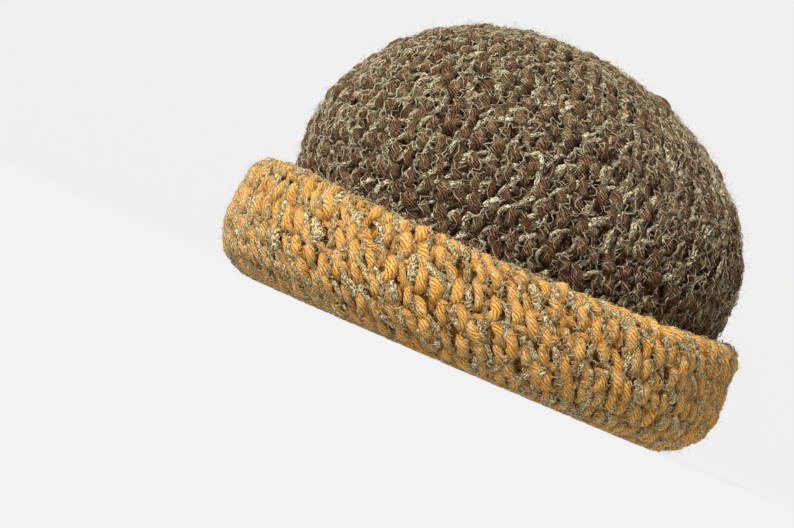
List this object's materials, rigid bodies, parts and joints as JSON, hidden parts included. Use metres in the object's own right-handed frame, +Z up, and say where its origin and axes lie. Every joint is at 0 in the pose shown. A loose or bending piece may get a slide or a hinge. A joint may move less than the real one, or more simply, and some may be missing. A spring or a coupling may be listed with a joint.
{
  "type": "crocheted hat with a rolled brim",
  "caption": "Domed crocheted hat with a thick wall and a big hollow rolled brim, open below for the head, resting on its brim.",
  "frame": {"origin": "on the ground that the brim rests on, in the middle of the brim's outline", "axes": "+Z up through the crown, +Y towards the back of the hat, +X towards the wearer's left"},
  "size_m": [0.2598, 0.285, 0.182],
  "materials": {
    "brown_yarn": "matt plied wool yarn, crocheted in rounds, with a thin curly sage yarn worked in",
    "gold_yarn": "soft plied mustard yarn with a slight lustre, crocheted in rounds, with a thin curly sage yarn worked in"
  },
  "bodies": {
    "root": {"crown": "brown_yarn", "rolled_brim": "gold_yarn"}
  },
  "joints": []
}
